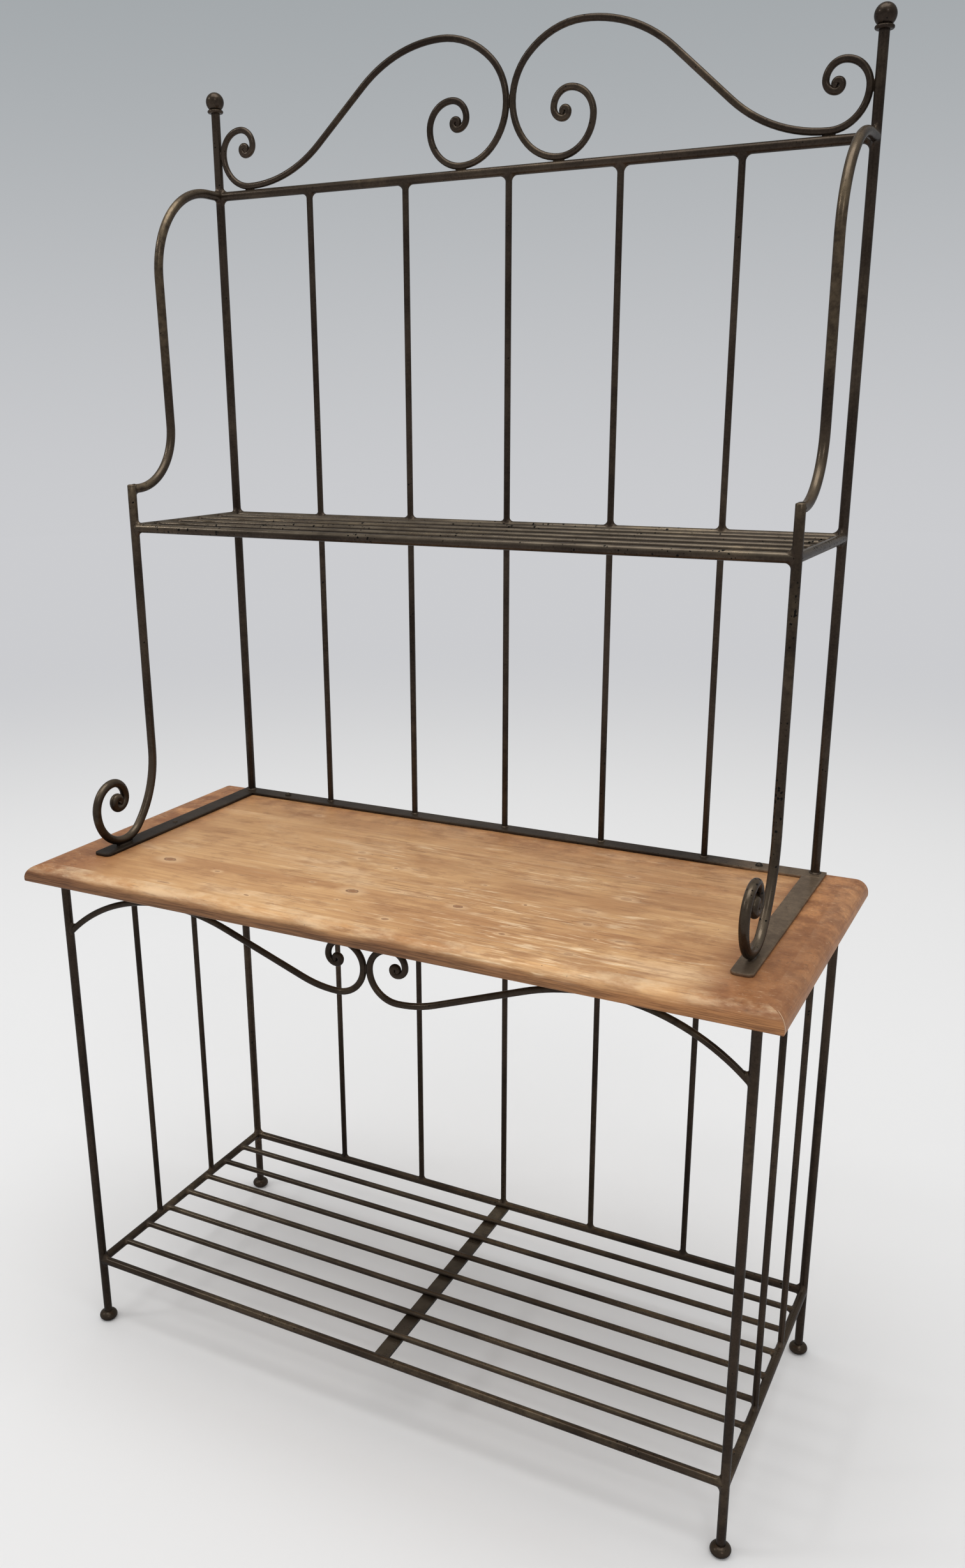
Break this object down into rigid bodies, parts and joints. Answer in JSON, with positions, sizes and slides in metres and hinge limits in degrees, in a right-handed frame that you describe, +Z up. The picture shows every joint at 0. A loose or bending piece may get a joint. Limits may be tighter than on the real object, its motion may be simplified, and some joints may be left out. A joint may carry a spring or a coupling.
{
  "type": "bakers rack",
  "caption": "Free-standing bakers rack: a round-bar steel base with a slatted shelf, a pine worktop, and a scrolled steel hutch with one shelf on top.",
  "frame": {"origin": "on the floor, under the centre of the rack's outline", "axes": "+X to the rack's right seen from the front, +Y to its back, +Z up"},
  "size_m": [1.22, 0.5335, 2.096],
  "materials": {
    "bronze_lacquered_steel": "lacquered dark bronze over hand-worked steel bar, semi-gloss",
    "fixings": "dark lacquered steel",
    "pine": "waxed honey pine, satin"
  },
  "bodies": {
    "root": {"apron_scroll_left": "bronze_lacquered_steel", "apron_scroll_right": "bronze_lacquered_steel", "base_back_rods": "bronze_lacquered_steel", "base_left_rods": "bronze_lacquered_steel", "base_right_rods": "bronze_lacquered_steel", "crest_scroll_left": "bronze_lacquered_steel", "crest_scroll_right": "bronze_lacquered_steel", "finial_left": "bronze_lacquered_steel", "finial_right": "bronze_lacquered_steel", "foot_front_left": "bronze_lacquered_steel", "foot_front_right": "bronze_lacquered_steel", "foot_rear_left": "bronze_lacquered_steel", "foot_rear_right": "bronze_lacquered_steel", "frame_screws": "fixings", "frame_strap_front": "bronze_lacquered_steel", "frame_strap_left": "bronze_lacquered_steel", "frame_strap_rear": "bronze_lacquered_steel", "frame_strap_right": "bronze_lacquered_steel", "hutch_arm_left": "bronze_lacquered_steel", "hutch_arm_right": "bronze_lacquered_steel", "hutch_back_rods_lower": "bronze_lacquered_steel", "hutch_back_rods_upper": "bronze_lacquered_steel", "hutch_bolts": "fixings", "hutch_nuts_and_washers": "fixings", "hutch_post_left": "bronze_lacquered_steel", "hutch_post_right": "bronze_lacquered_steel", "hutch_strap_left": "bronze_lacquered_steel", "hutch_strap_rear": "bronze_lacquered_steel", "hutch_strap_right": "bronze_lacquered_steel", "hutch_top_rail": "bronze_lacquered_steel", "hutch_upright_left": "bronze_lacquered_steel", "hutch_upright_right": "bronze_lacquered_steel", "leg_front_left": "bronze_lacquered_steel", "leg_front_right": "bronze_lacquered_steel", "leg_rear_left": "bronze_lacquered_steel", "leg_rear_right": "bronze_lacquered_steel", "lower_rail_front": "bronze_lacquered_steel", "lower_rail_left": "bronze_lacquered_steel", "lower_rail_rear": "bronze_lacquered_steel", "lower_rail_right": "bronze_lacquered_steel", "lower_shelf_rods": "bronze_lacquered_steel", "lower_shelf_strap": "bronze_lacquered_steel", "shelf_rail_front": "bronze_lacquered_steel", "shelf_rail_left": "bronze_lacquered_steel", "shelf_rail_rear": "bronze_lacquered_steel", "shelf_rail_right": "bronze_lacquered_steel", "shelf_rod_1": "bronze_lacquered_steel", "shelf_rod_2": "bronze_lacquered_steel", "shelf_rod_3": "bronze_lacquered_steel", "shelf_rod_4": "bronze_lacquered_steel", "strap_screws": "fixings", "worktop_board_1": "pine", "worktop_board_2": "pine", "worktop_board_3": "pine", "worktop_board_4": "pine", "worktop_edging_front": "pine", "worktop_edging_left": "pine", "worktop_edging_right": "pine"}
  },
  "joints": []
}
